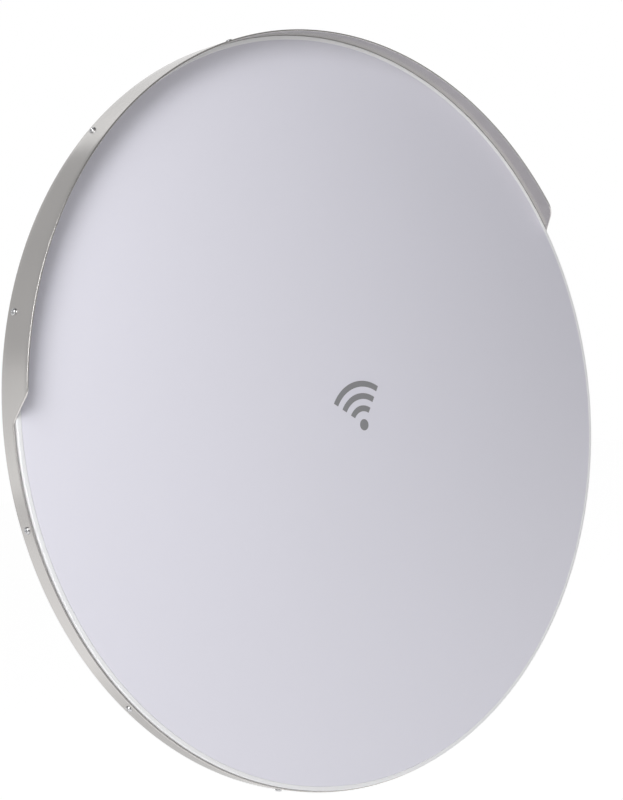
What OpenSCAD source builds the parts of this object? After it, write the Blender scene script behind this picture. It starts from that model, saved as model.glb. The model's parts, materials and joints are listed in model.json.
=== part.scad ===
// Outdoor wireless bridge: a round dish behind a domed radome, with a hooded rim band, a centre
// feed, a radio housing behind the dish and a tilting pole mount.
// Millimetres. +Z is up, the dish looks along -Y, and the origin is the centre of the pole clamp.

/* [Dish] */
// Outside diameter of the rim band
dish_d = 650; // [646:1:654]
// Distance from the pole's axis to the rim plane, the front edge of the band below the hood
rim_reach = 279; // [278:0.5:281]
// Focal length of the reflector
focal_len = 165; // [164:0.5:167]
// Thickness of the reflector's sheet
sheet_t = 2; // [1.5:0.1:2.2]
// Radius of the flat centre that the bracket bolts to
flat_r = 94; // [93:0.5:96]

/* [Rim band] */
// Width of the band below the hood
band_w = 16.5; // [15:0.5:18]
// Thickness of the band's sheet
band_t = 1.5; // [1.2:0.1:1.8]
// How far the hood stands forward of the band
hood_len = 20.9; // [16:0.1:26]
// Half angle of the hood at the foot of its sloping ends
hood_base_deg = 75.3; // [74:0.1:77]
// Half angle of the hood at its front corners
hood_front_deg = 71.5; // [70:0.1:72.5]
// Radius of the hood's corners, apart from its front corner on the right
hood_corner_r = 9; // [4:0.5:10]
// Radius of the hood's front corner on the right
hood_right_r = 22; // [9:1:24]
// Number of rim screws
rim_screw_n = 12; // [12, 24]
// Distance from the band's front edge back to the rim screws
rim_screw_y = 6.7; // [6:0.1:8]

/* [Radome] */
// Height of the dome's centre in front of the rim plane
dome_h = 32.5; // [28:0.5:36]
// Height of the dome's edge in front of the rim plane
dome_edge_h = 4; // [3.5:0.1:5]
// Thickness of the dome
dome_t = 3; // [2.5:0.1:3.5]
// Thickness of the radome's side wall
wall_t = 2.2; // [2:0.1:2.4]
// Gap between the radome's side wall and the band
rim_gap = 0.6; // [0.4:0.1:0.8]
// Radius of the shoulder between the face and the side wall
shoulder_r = 4; // [3:0.5:4.5]

/* [Radio housing] */
// Width of the housing
house_w = 74; // [72:1:76]
// Top of the housing
house_top = 56; // [54:1:57]
// Bottom of the housing
house_bottom = -76; // [-78:1:-74]
// Thickness of the housing's walls
house_t = 3; // [2.5:0.1:3.2]
// Radius of the spigot that goes through the dish
spigot_r = 39.7; // [39.5:0.1:39.7]

/* [Pole mount] */
// Diameter of the pole
pole_d = 50; // [48:0.5:51]
// Width of the pole bracket, outside its ears
bracket_w = 120; // [120:1:121]
// Height of the pole bracket
bracket_h = 100; // [98:1:104]
// Thickness of the steel plates
plate_t = 3; // [2.5:0.1:3]
// Distance of the tilt pivot in front of the pole's axis
pivot_y = 62; // [61:0.5:63]
// Height of the tilt pivot
pivot_z = -18; // [-19:0.5:-17]
// Radius of the tilt slot about the pivot
slot_r = 48; // [46:0.5:49]
// Tilt each way
tilt_deg = 20; // [10:1:20]

/* [Hidden] */
$fn = 96;
eps = 0.01;
big = 400;

// Rim, in the dish's own (radius, y) half plane
rim_y = -rim_reach;
band_ro = dish_d / 2;
band_ri = band_ro - band_t;
wall_ro = band_ri - rim_gap;
wall_ri = wall_ro - wall_t;
hood_front_y = rim_y - hood_len;

// The dome is a sphere through its centre and its edge
dome_edge_r = wall_ro - shoulder_r - 1;
dome_rise = dome_h - dome_edge_h;
dome_r = (pow(dome_edge_r, 2) + pow(dome_rise, 2)) / (2 * dome_rise);
dome_cy = rim_y - dome_h + dome_r;
dome_fn = 1440;
function dome_y(r, grow) = dome_cy - sqrt(pow(dome_r + grow, 2) - pow(r, 2));

// Reflector: a flat centre, then a paraboloid out to the rim, then a lip turned forward
mirror_r = 316;
lip_ro = wall_ri - 0.3;
lip_ri = lip_ro - sheet_t;
lip_front_y = rim_y + 2.8;
mirror_rim_y = rim_y + 13;
mirror_steps = 30;
function mirror_y(r) = mirror_rim_y + (pow(mirror_r, 2) - pow(r, 2)) / (4 * focal_len);
function sheet_y(r) = sheet_t * sqrt(1 + pow(r / (2 * focal_len), 2));
function mirror_step_r(i) = flat_r + (mirror_r - flat_r) * i / mirror_steps;
flat_front_y = mirror_y(flat_r);
flat_back_y = flat_front_y + sheet_t;
hub_hole_r = spigot_r + 0.3;

// Inside radius of every fold in the mount's sheet metal
bend_r = 1.5;

// Bracket bolted to the back of the dish
ear_in = bracket_w / 2 + 0.6;
ear_out = ear_in + plate_t;
ear_back_y = -30;
ground_y = -104;
ground_z = -34;
web_back_y = flat_back_y + plate_t;
hub_bolt_x = 50;
hub_bolt_z = 50;
backing_t = 2;

// Fasteners
m8_r = 4;
m8_clear_r = 4.4;
m8_neck = 8.1;
m8_head_r = 8.8;
m8_head_h = 4.2;
nut_flange_r = 8.8;
nut_hex_r = 7.5;
nut_h = 7.6;
washer_r = 8.5;
washer_t = 1.5;

// Radio housing
house_back_y = -68;
part_y = -88;
part_gap = 0.3;
pocket_z = -28;
house_corner_r = 14;
house_side_r = 18;
house_edge_r = 10;
cover_screw_x = 27;
cover_screw_z = [45, -20];
spigot_front_y = flat_front_y - 12;
spigot_ri = 33;
tube_r = 32.8;
tube_rear_y = -104;
groove_y = -112.3;
groove_w = 4.6;
button_z = 34;
button_r = 9;
button_flange_y = -73.4;
board_y = -98;
board_t = 1.6;
grommet_r = 8;
cable_hole_r = 3.5;
reset_x = 15;
reset_z = -40;
led_x = [-12, -4, 4, 12];
led_z = -14;

// Feed, in the dish's own (radius, y) half plane
feed_front_y = -262;
guide_ri = 10;
guide_ro = 12;
splash_y = -285;
splash_r = 33;

// Pole mount
pole_r = pole_d / 2;
bracket_face_y = -41;
bracket_back_y = bracket_face_y + plate_t;
clamp_bolt_x = 42;
clamp_bolt_z = 28;
jaw_y = 36;
jaw_half_h = 43;
saddle_tip_y = 8;
bolt_end_y = 74;

// ---- Helpers ----

// Revolves a (radius, y) outline about the dish's axis
module spin_y() {
  rotate([-90, 0, 0]) rotate_extrude($fn = 180) children();
}

// Extrudes an (x, z) outline from y0 to y1
module extrude_y(y0, y1) {
  translate([0, y0, 0]) rotate([-90, 0, 0]) linear_extrude(y1 - y0)
    mirror([0, 1, 0]) children();
}

// Extrudes a (y, z) outline from x0 to x1
module extrude_x(x0, x1) {
  translate([x0, 0, 0]) rotate([90, 0, 90]) linear_extrude(x1 - x0) children();
}

// Extrudes an (x, y) outline from z0 to z1
module extrude_z(z0, z1) {
  translate([0, 0, z0]) linear_extrude(z1 - z0) children();
}

module ring_2d(r_out, r_in) {
  difference() {
    circle(r = r_out);
    circle(r = r_in);
  }
}

// Rectangle from [x0, y0] to [x1, y1] with round corners
module round_rect(x0, y0, x1, y1, r) {
  translate([x0 + r, y0]) square([x1 - x0 - 2 * r, y1 - y0]);
  translate([x0, y0 + r]) square([x1 - x0, y1 - y0 - 2 * r]);
  for (x = [x0 + r, x1 - r], y = [y0 + r, y1 - r]) translate([x, y]) circle(r = r);
}

// Channel folded from sheet: its web lies along y = 0 and its sides reach up to y = depth
module folded_sheet(half_w, depth) {
  spare = 20;
  difference() {
    round_rect(-half_w, 0, half_w, depth + spare, bend_r + plate_t);
    round_rect(plate_t - half_w, plate_t, half_w - plate_t, depth + 2 * spare, bend_r);
    translate([-half_w - 1, depth]) square([2 * half_w + 2, 2 * spare]);
  }
}

// The same outline with its web along x = 0 and its sides reaching towards +x
module folded_sheet_sideways(half_w, depth) {
  mirror([1, -1]) folded_sheet(half_w, depth);
}

module both_sides() {
  children();
  mirror([1, 0, 0]) children();
}

// Carriage bolt along +Z with the underside of its head at z = 0
module carriage_bolt(neck_len, length) {
  intersection() {
    translate([0, 0, -m8_head_h]) cylinder(r = m8_head_r, h = m8_head_h);
    translate([0, 0, 11 - m8_head_h]) sphere(r = 11);
  }
  translate([-m8_neck / 2, -m8_neck / 2, -eps]) cube([m8_neck, m8_neck, neck_len + eps]);
  cylinder(r = m8_r, h = length);
}

// Flange nut along +Z with its flange at z = 0
module flange_nut(bore_r) {
  difference() {
    union() {
      cylinder(r = nut_flange_r, h = 1.4);
      cylinder(r = nut_hex_r, h = nut_h, $fn = 6);
    }
    translate([0, 0, -1]) cylinder(r = bore_r, h = nut_h + 2);
  }
}

module washer(r_out, r_in, t) {
  difference() {
    cylinder(r = r_out, h = t);
    translate([0, 0, -1]) cylinder(r = r_in, h = t + 2);
  }
}

module hub_bolt_places() {
  for (x = [-hub_bolt_x, hub_bolt_x], z = [-hub_bolt_z, hub_bolt_z]) translate([x, 0, z])
    rotate([-90, 0, 0]) children();
}

module clamp_bolt_places() {
  for (x = [-clamp_bolt_x, clamp_bolt_x], z = [-clamp_bolt_z, clamp_bolt_z])
    translate([x, 0, z]) rotate([-90, 0, 0]) children();
}

module cover_screw_places() {
  for (x = [-cover_screw_x, cover_screw_x], z = cover_screw_z) translate([x, 0, z])
    rotate([-90, 0, 0]) children();
}

// ---- Rim ----

// The hood's sloping end as points (t, h): t runs along the rim and h forward from the rim plane
hood_mid_deg = (hood_base_deg + hood_front_deg) / 2;
hood_half_run = band_ro * (hood_base_deg - hood_front_deg) / 2 * PI / 180;
hood_slope = atan2(hood_len, 2 * hood_half_run);
hood_arc_n = 12;
function hood_tangent(r) = hood_half_run + r * tan(hood_slope / 2);
function hood_front_corner(r, i) = [
  -hood_tangent(r) + r * cos(90 - hood_slope * i / hood_arc_n),
  hood_len - r + r * sin(90 - hood_slope * i / hood_arc_n)
];
function hood_foot(r, i) = [
  hood_tangent(r) + r * cos(270 - hood_slope + hood_slope * i / hood_arc_n),
  r + r * sin(270 - hood_slope + hood_slope * i / hood_arc_n)
];

// What is cut away below the hood's end
module hood_end_cut(front_r) {
  reach = 80;
  spare = 4;
  rotate([0, hood_mid_deg, 0]) translate([0, rim_y, band_ro - 60])
    linear_extrude(90) mirror([0, 1]) polygon(concat(
      [[-hood_tangent(front_r), hood_len + spare]],
      [for (i = [0:hood_arc_n]) hood_front_corner(front_r, i)],
      [for (i = [0:hood_arc_n]) hood_foot(hood_corner_r, i)],
      [[hood_tangent(hood_corner_r), -spare], [reach, -spare], [reach, hood_len + spare]]
    ));
}

// Space in front of the rim plane that the hood fills
module hood_zone() {
  low_z = 40;
  difference() {
    translate([-big, hood_front_y - 1, low_z]) cube([2 * big, hood_len + 2, big]);
    hood_end_cut(hood_right_r);
    mirror([1, 0, 0]) hood_end_cut(hood_corner_r);
  }
}

module rim_screw_places() {
  for (i = [0:rim_screw_n - 1]) rotate([0, 360 / rim_screw_n * i, 0])
    translate([0, rim_y + rim_screw_y, 0]) children();
}

module shroud_band() {
  back_lip = 2.6;
  color("silver") difference() {
    union() {
      spin_y() translate([band_ri, rim_y]) square([band_t, band_w]);
      spin_y() translate([band_ro - back_lip, rim_y + band_w - band_t])
        square([back_lip - band_t / 2, band_t]);
      intersection() {
        spin_y() translate([band_ri, hood_front_y]) square([band_t, hood_len + eps]);
        hood_zone();
      }
    }
    rim_screw_places() translate([0, 0, wall_ri]) cylinder(r = 2.2, h = 20, $fn = 32);
  }
}

// Dome, round shoulder and side wall, as a (radius, y) outline
module radome_outline() {
  skirt_back_y = rim_y + band_w - band_t - 0.4;
  shoulder_cr = wall_ro - shoulder_r;
  shoulder_cy = dome_y(shoulder_cr, -shoulder_r);
  lean = asin(shoulder_cr / (dome_r - shoulder_r));
  out = 20;
  difference() {
    intersection() {
      translate([0, dome_cy]) circle(r = dome_r, $fn = dome_fn);
      translate([0, rim_y - 2 * dome_h]) square([wall_ro, skirt_back_y - rim_y + 2 * dome_h]);
    }
    intersection() {
      translate([0, dome_cy]) circle(r = dome_r - dome_t, $fn = dome_fn);
      translate([-1, rim_y - 2 * dome_h]) square([wall_ri + 1, 4 * dome_h]);
    }
    difference() {
      translate([shoulder_cr, shoulder_cy])
        polygon([[0, 0], [out * sin(lean), -out * cos(lean)], [out, -out], [out, 0]]);
      translate([shoulder_cr, shoulder_cy]) circle(r = shoulder_r);
    }
  }
}

module radome() {
  color("whitesmoke") difference() {
    spin_y() radome_outline();
    rim_screw_places() translate([0, 0, lip_ri - 1]) cylinder(r = 2.2, h = 9, $fn = 32);
  }
}

module rim_gasket() {
  color("dimgray") spin_y() translate([lip_ri - 0.2, rim_y + 0.2])
    square([sheet_t + 0.3, lip_front_y - rim_y - 0.2]);
}

module rim_screw() {
  head_h = 1.7;
  difference() {
    union() {
      translate([0, 0, band_ro]) cylinder(r = 3, h = head_h, $fn = 48);
      translate([0, 0, lip_ri - 3]) cylinder(r = 2, h = band_ro - lip_ri + 3.5, $fn = 32);
    }
    translate([0, 0, band_ro + head_h - 1.1]) cylinder(r = 1.4, h = 2, $fn = 6);
  }
}

module rim_screws() {
  color("gainsboro") rim_screw_places() rim_screw();
}

// ---- Reflector and its hub ----

module reflector() {
  color("lightgray") difference() {
    spin_y() polygon(concat(
      [[hub_hole_r, flat_front_y]],
      [for (i = [0:mirror_steps]) [mirror_step_r(i), mirror_y(mirror_step_r(i))]],
      [
        [lip_ri, mirror_rim_y - 1],
        [lip_ri, lip_front_y],
        [lip_ro, lip_front_y],
        [lip_ro, mirror_rim_y + 1]
      ],
      [for (i = [mirror_steps:-1:0])
        [mirror_step_r(i), mirror_y(mirror_step_r(i)) + sheet_y(i == 0 ? 0 : mirror_step_r(i))]],
      [[hub_hole_r, flat_back_y]]
    ));
    hub_bolt_places() translate([0, 0, flat_front_y - 5]) cylinder(r = m8_clear_r, h = 12);
    rim_screw_places() translate([0, 0, lip_ri - 1]) cylinder(r = 2.02, h = 5, $fn = 32);
  }
}

module backing_plate() {
  color("gray") difference() {
    spin_y() translate([54, flat_front_y - backing_t]) square([36, backing_t]);
    hub_bolt_places() translate([-m8_neck / 2 - 0.1, -m8_neck / 2 - 0.1, flat_front_y - 5])
      cube([m8_neck + 0.2, m8_neck + 0.2, 8]);
  }
}

module hub_bolts() {
  color("silver") hub_bolt_places() translate([0, 0, flat_front_y - backing_t])
    carriage_bolt(backing_t, 19);
}

module hub_nuts() {
  color("silver") hub_bolt_places() translate([0, 0, web_back_y]) flange_nut(m8_r + 0.05);
}

// ---- Bracket on the dish ----

// Slot about the pivot, as a (y, z) outline centred on the pivot
module tilt_slot() {
  half = tilt_deg;
  far = 2 * slot_r;
  intersection() {
    ring_2d(slot_r + m8_clear_r, slot_r - m8_clear_r);
    polygon([[0, 0], [-far * sin(half), far * cos(half)], [far * sin(half), far * cos(half)]]);
  }
  for (a = [-half, half]) translate([slot_r * sin(a), slot_r * cos(a)]) circle(r = m8_clear_r);
}

module dish_ear_outline() {
  ear_low_z = -46;
  ear_top_z = 52;
  difference() {
    union() {
      round_rect(web_back_y - 20, ear_low_z, ear_back_y, ear_top_z, 16);
      translate([flat_back_y, ear_low_z]) square([30, ear_top_z - ear_low_z]);
    }
    translate([flat_back_y - 30, ear_low_z - 1]) square([30, ear_top_z - ear_low_z + 2]);
    translate([-pivot_y, pivot_z]) circle(r = m8_r + 0.05);
    translate([-pivot_y, pivot_z]) tilt_slot();
    translate([ground_y, ground_z]) circle(r = 2.6);
    translate([-102, 4]) circle(r = 11);
  }
}

module dish_bracket() {
  flat_half_w = ear_out - plate_t - bend_r;
  half_h = 66;
  color("lightsteelblue") difference() {
    union() {
      extrude_y(flat_back_y, web_back_y)
        round_rect(-flat_half_w, -half_h, flat_half_w, half_h, 8);
      intersection() {
        extrude_z(-half_h, half_h) translate([0, flat_back_y])
          folded_sheet(ear_out, ear_back_y - flat_back_y);
        extrude_x(-ear_out - 1, ear_out + 1) dish_ear_outline();
      }
    }
    extrude_y(flat_back_y - 1, web_back_y + 1) circle(r = hub_hole_r + 2);
    hub_bolt_places() translate([0, 0, flat_back_y - 2]) cylinder(r = m8_clear_r, h = 10);
  }
}

module ground_screw() {
  color("goldenrod") translate([ear_out, ground_y, ground_z]) rotate([0, 90, 0]) {
    cylinder(r = 5.6, h = 0.8, $fn = 48);
    cylinder(r = 4.6, h = 4.2, $fn = 6);
    translate([0, 0, -8]) cylinder(r = 2.5, h = 9, $fn = 48);
  }
}

// ---- Radio housing ----

// Outer form of the housing, or its inside when inset is the wall's thickness
module house_form(inset) {
  half_w = house_w / 2 - inset;
  low = house_bottom + inset;
  top = house_top - inset;
  back = house_back_y - inset;
  front = web_back_y + inset;
  intersection() {
    extrude_y(front, back) round_rect(-half_w, low, half_w, top, house_corner_r - inset);
    extrude_x(-half_w, half_w) round_rect(front - 40, low, back, top, house_side_r - inset);
    extrude_z(low, top) round_rect(-half_w, front - 40, half_w, back, house_edge_r - inset);
  }
}

module house_shell() {
  difference() {
    house_form(0);
    house_form(house_t);
  }
}

// Everything from y0 to y1 and z0 to z1
module slab(y0, y1, z0, z1) {
  translate([-big, y0, z0]) cube([2 * big, y1 - y0, z1 - z0]);
}

module rear_housing() {
  boss_y = -102;
  color("white") difference() {
    union() {
      intersection() {
        house_shell();
        slab(web_back_y - 1, part_y - part_gap, house_bottom - 1, house_top + 1);
      }
      difference() {
        intersection() {
          house_form(0);
          union() {
            cover_screw_places() translate([0, 0, boss_y])
              cylinder(r = 4.5, h = part_y - part_gap - boss_y, $fn = 48);
            for (z = cover_screw_z) both_sides()
              translate([cover_screw_x, boss_y, z - 4.5])
                cube([house_w / 2 - house_t - cover_screw_x + 1, part_y - part_gap - boss_y, 9]);
          }
        }
        cover_screw_places() translate([0, 0, boss_y - 1]) cylinder(r = 1.55, h = 30, $fn = 32);
      }
      both_sides() translate([30.8, part_y - 6, -66]) cube([3.4, 5.7, 34]);
      both_sides() translate([30.8, part_y - 1, -66]) cube([2.4, 5, 34]);
      extrude_y(spigot_front_y, web_back_y + house_t) circle(r = spigot_r);
    }
    extrude_y(spigot_front_y - 1, web_back_y + house_t + 1) circle(r = spigot_ri);
    translate([0, part_y, house_bottom - 1]) cylinder(r = grommet_r, h = house_t + 2);
    translate([-house_w / 2 - 1, vent_y, vent_z]) rotate([0, 90, 0]) cylinder(r = 5, h = 5);
  }
}

vent_y = -106;
vent_z = 24;

module cover_gasket() {
  color("dimgray") intersection() {
    difference() {
      house_form(0.4);
      house_form(house_t);
    }
    slab(part_y - part_gap, part_y + part_gap, pocket_z + 4, house_top + 1);
  }
}

module rear_cover() {
  color("white") difference() {
    union() {
      intersection() {
        house_shell();
        slab(part_y + part_gap, 0, pocket_z, house_top + 1);
      }
      intersection() {
        house_form(0);
        union() {
          slab(part_y + part_gap, 0, pocket_z, pocket_z + house_t);
          cover_screw_places() translate([0, 0, part_y + part_gap])
            cylinder(r = 4.5, h = 18, $fn = 48);
        }
      }
    }
    cover_screw_places() {
      translate([0, 0, part_y - 1]) cylinder(r = 1.7, h = 40, $fn = 32);
      translate([0, 0, -72]) cylinder(r = 3.2, h = 10, $fn = 48);
    }
    translate([0, -80, button_z]) rotate([-90, 0, 0]) cylinder(r = button_r + 0.35, h = 20);
    for (x = led_x) translate([x, -80, led_z]) rotate([-90, 0, 0])
      cylinder(r = 1.6, h = 20, $fn = 32);
  }
}

module cover_screws() {
  head_y = -72;
  color("silver") cover_screw_places() translate([0, 0, head_y]) difference() {
    union() {
      cylinder(r = 2.9, h = 1.9, $fn = 48);
      translate([0, 0, -26]) cylinder(r = 1.5, h = 27, $fn = 32);
    }
    translate([0, 0, 0.7]) cylinder(r = 1.4, h = 3, $fn = 6);
  }
}

module port_cover() {
  finger_y = house_back_y - 1.2;
  color("white") difference() {
    intersection() {
      house_shell();
      slab(part_y + part_gap, 0, house_bottom - 1, pocket_z - part_gap);
    }
    translate([0, part_y, house_bottom - 1]) cylinder(r = grommet_r + 0.35, h = house_t + 8);
    for (i = [0:4]) translate([-11, finger_y, -40 - 4 * i]) cube([22, 5, 1.6]);
  }
}

module cable_grommet() {
  color("dimgray") difference() {
    union() {
      translate([0, part_y, house_bottom - 0.8]) cylinder(r = grommet_r, h = house_t + 1.2);
      intersection() {
        translate([0, part_y, house_bottom + house_t]) cylinder(r = grommet_r + 2, h = 1.8);
        house_form(house_t + 0.2);
      }
    }
    translate([0, part_y, house_bottom - 5]) cylinder(r = cable_hole_r, h = 20);
  }
}

module breather_vent() {
  color("gray") translate([-house_w / 2, vent_y, vent_z]) rotate([0, -90, 0]) {
    cylinder(r = 7.5, h = 2.4);
    translate([0, 0, -4.5]) cylinder(r = 4.95, h = 5);
  }
}

module light_pipe() {
  color("aliceblue") {
    for (x = led_x) translate([x, board_y + board_t + 0.5, led_z]) rotate([-90, 0, 0])
      cylinder(r = 1.5, h = house_back_y + 0.3 - board_y - board_t - 0.5, $fn = 32);
    translate([-14, -92, led_z - 2]) cube([28, 2, 4]);
  }
}

module feed_release_button() {
  color("lightgray") {
    translate([0, 0, button_z]) {
      extrude_y(button_flange_y, house_back_y + 2.5) circle(r = button_r);
      extrude_y(-90.5, button_flange_y + 1) circle(r = 3);
    }
    intersection() {
      translate([0, 0, button_z]) extrude_y(button_flange_y, -71.4) circle(r = button_r + 1.5);
      house_form(house_t + 0.4);
    }
  }
}

// Coil spring about the button's stem, swept as a six-sided wire along a helix
spring_r = 5.4;
spring_wire_r = 0.5;
spring_turns = 6;
spring_steps = 84;
spring_y0 = -93.9;
spring_y1 = button_flange_y - 0.1;
spring_sides = 6;
function spring_point(i, k) = let(
  a = 360 * spring_turns * i / spring_steps,
  r = spring_r + spring_wire_r * cos(60 * k),
  rise = spring_wire_r * sin(60 * k),
  run = spring_y1 - spring_y0 - 2 * spring_wire_r
) [r * cos(a), spring_y0 + spring_wire_r + run * i / spring_steps + rise, button_z + r * sin(a)];

module release_spring() {
  color("silver") polyhedron(
    points = [for (i = [0:spring_steps], k = [0:spring_sides - 1]) spring_point(i, k)],
    faces = concat(
      [[for (k = [0:spring_sides - 1]) k]],
      [for (i = [0:spring_steps - 1], k = [0:spring_sides - 1]) let(
        a = i * spring_sides + k,
        b = i * spring_sides + (k + 1) % spring_sides
      ) [b, a, a + spring_sides, b + spring_sides]],
      [[for (k = [spring_sides - 1:-1:0]) spring_steps * spring_sides + k]]
    )
  );
}

module feed_latch() {
  color("gold") difference() {
    union() {
      translate([-6, -118, tube_r + 0.4]) cube([12, 24, 2.6]);
      translate([-8, -96, 25]) cube([16, 2, 17]);
      translate([-6, groove_y + 0.4, tube_r - 1.2]) cube([12, groove_w - 0.8, 2]);
    }
    translate([0, 0, button_z]) extrude_y(-100, -90) circle(r = 3.6);
  }
}

// ---- Feed ----

module lock_ring() {
  grip_n = 24;
  color("darkgray") difference() {
    spin_y() translate([spigot_r + 0.1, spigot_front_y + 0.5]) square([11, 11.5]);
    for (i = [0:grip_n - 1]) rotate([0, 360 / grip_n * i, 0])
      translate([0, spigot_front_y - 1, spigot_r + 12]) rotate([-90, 0, 0])
        cylinder(r = 2.2, h = 20, $fn = 24);
  }
}

module feed_seal() {
  color("dimgray") spin_y() translate([33.5, spigot_front_y - 1]) square([5, 1]);
}

module feed_tube() {
  shoulder_y = spigot_front_y - 1;
  color("white") spin_y() polygon([
    [28.5, tube_rear_y],
    [tube_r, tube_rear_y],
    [tube_r, groove_y + groove_w],
    [tube_r - 1.6, groove_y + groove_w],
    [tube_r - 1.6, groove_y],
    [tube_r, groove_y],
    [tube_r, shoulder_y],
    [38, shoulder_y],
    [38, shoulder_y - 3.5],
    [31.5, shoulder_y - 6],
    [27, feed_front_y],
    [25, feed_front_y - 2],
    [guide_ro + 0.1, feed_front_y - 2],
    [guide_ro + 0.1, feed_front_y + 1],
    [24.4, feed_front_y + 1],
    [28.5, shoulder_y - 6]
  ]);
}

module feed_waveguide() {
  color("silver") spin_y() translate([guide_ri, -268]) square([guide_ro - guide_ri, 46]);
}

module feed_cone() {
  color("ivory") spin_y() polygon([
    [0, -240], [3, -240], [guide_ri - 0.1, -258], [guide_ri - 0.1, -268.1],
    [guide_ro, -268.1], [splash_r - 3, splash_y], [0, splash_y]
  ]);
}

module sub_reflector() {
  color("silver") spin_y() polygon([
    [0, splash_y], [splash_r, splash_y], [splash_r + 2, splash_y + 1.5],
    [splash_r + 3, splash_y + 0.4], [splash_r + 1, splash_y - 3], [0, splash_y - 3]
  ]);
}

module feed_cap() {
  color("white") spin_y() polygon([
    [38, -279], [38, -290], [34.5, -295], [0, -297], [0, -295],
    [33.4, -293], [36.2, -289], [36.2, -279]
  ]);
}

module radio_board() {
  color("seagreen") translate([-22, -216, -board_t / 2]) cube([44, 112.5, board_t]);
}

module rf_shield() {
  can_t = 0.6;
  color("silver") difference() {
    translate([-16, -205, board_t / 2]) cube([32, 55, 7]);
    translate([-16 + can_t, -205 + can_t, board_t / 2 - 1])
      cube([32 - 2 * can_t, 55 - 2 * can_t, 8 - can_t]);
  }
}

module board_connector() {
  color("black") translate([-12, -103.5, -4]) cube([24, board_y + 103.5, 8]);
}

module port_board() {
  color("seagreen") extrude_y(board_y, board_y + board_t) difference() {
    round_rect(-20, -50, 20, 22, 2);
    translate([reset_x, reset_z]) circle(r = 0.8, $fn = 24);
  }
}

module ethernet_jack() {
  front = board_y + board_t;
  color("silver") difference() {
    translate([-8, front, -50]) cube([16, 13.4, 21]);
    translate([-5.9, front + 2.4, -51]) cube([11.8, 8.4, 15]);
    translate([-3, front + 10, -51]) cube([6, 2.4, 15]);
  }
}

module reset_switch() {
  front = board_y + board_t;
  color("black") difference() {
    translate([reset_x - 3, front, reset_z - 3]) cube([6, 3.5, 6]);
    translate([0, front + 1, 0]) translate([reset_x, 0, reset_z]) rotate([-90, 0, 0])
      cylinder(r = 2.1, h = 5, $fn = 48);
  }
}

module reset_button() {
  front = board_y + board_t;
  color("firebrick") translate([reset_x, front + 1.8, reset_z]) rotate([-90, 0, 0])
    cylinder(r = 1.75, h = 4, $fn = 48);
}

// ---- Pole mount ----

module pole_ear_outline() {
  half_neck = m8_neck / 2 + 0.1;
  difference() {
    union() {
      round_rect(-80, -36, bracket_face_y + 20, 48, 15);
      translate([bracket_face_y - 15, -36]) square([15 + plate_t, 84]);
    }
    translate([bracket_back_y, -60]) square([60, 120]);
    for (z = [pivot_z, pivot_z + slot_r]) translate([-pivot_y - half_neck, z - half_neck])
      square(2 * half_neck);
  }
}

// Flange with a round saddle for the pole; it reaches from y0 to y1
module saddle_outline(y0, y1) {
  difference() {
    polygon([[-52, y0], [52, y0], [52, y0 + sign(y1 - y0) * 8], [31, y1], [-31, y1],
      [-52, y0 + sign(y1 - y0) * 8]]);
    circle(r = pole_r);
  }
}

module pole_bracket() {
  half_w = bracket_w / 2;
  half_h = bracket_h / 2;
  fold = plate_t + bend_r;
  half_neck = m8_neck / 2 + 0.1;
  color("lightsteelblue") difference() {
    union() {
      extrude_y(bracket_face_y, bracket_back_y)
        round_rect(fold - half_w, fold - half_h, half_w - fold, half_h - fold, 2);
      intersection() {
        extrude_z(-half_h, half_h) translate([0, bracket_back_y]) mirror([0, 1])
          folded_sheet(half_w, bracket_w);
        extrude_x(-half_w - 1, half_w + 1) pole_ear_outline();
      }
      intersection() {
        extrude_x(-half_w, half_w) translate([bracket_face_y, 0])
          folded_sheet_sideways(half_h, -saddle_tip_y - bracket_face_y);
        extrude_z(-half_h - 1, half_h + 1) saddle_outline(bracket_face_y, -saddle_tip_y);
      }
    }
    for (x = [-clamp_bolt_x, clamp_bolt_x], z = [-clamp_bolt_z, clamp_bolt_z])
      translate([x - half_neck, bracket_face_y - 1, z - half_neck])
        cube([2 * half_neck, plate_t + 2, 2 * half_neck]);
    extrude_y(bracket_face_y - 1, bracket_back_y + 1) round_rect(-14, -30, 14, 30, 6);
  }
}

// Bolt through both ears, with its head inside the pole bracket's ear
module ear_bolts(z) {
  color("silver") both_sides() translate([bracket_w / 2 - plate_t, -pivot_y, z])
    rotate([0, 90, 0]) carriage_bolt(plate_t - 0.1, 20);
}

module ear_nuts(z) {
  color("silver") both_sides()
    translate([ear_out + 0.1 + washer_t, -pivot_y, z]) rotate([0, 90, 0])
      flange_nut(m8_r + 0.05);
}

module pivot_bolts() {
  ear_bolts(pivot_z);
}

module pivot_nuts() {
  ear_nuts(pivot_z);
}

module lock_bolts() {
  ear_bolts(pivot_z + slot_r);
}

module lock_nuts() {
  ear_nuts(pivot_z + slot_r);
}

module friction_washers() {
  color("black") both_sides() for (z = [pivot_z, pivot_z + slot_r])
    translate([bracket_w / 2, -pivot_y, z]) rotate([0, 90, 0])
      washer(washer_r, m8_r + 0.1, ear_in - bracket_w / 2 - 0.1);
}

module ear_washers() {
  color("silver") both_sides() for (z = [pivot_z, pivot_z + slot_r])
    translate([ear_out + 0.1, -pivot_y, z]) rotate([0, 90, 0])
      washer(washer_r, m8_r + 0.1, washer_t);
}

module clamp_bolts() {
  color("silver") clamp_bolt_places() translate([0, 0, bracket_face_y])
    carriage_bolt(plate_t, bolt_end_y - bracket_face_y);
}

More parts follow.
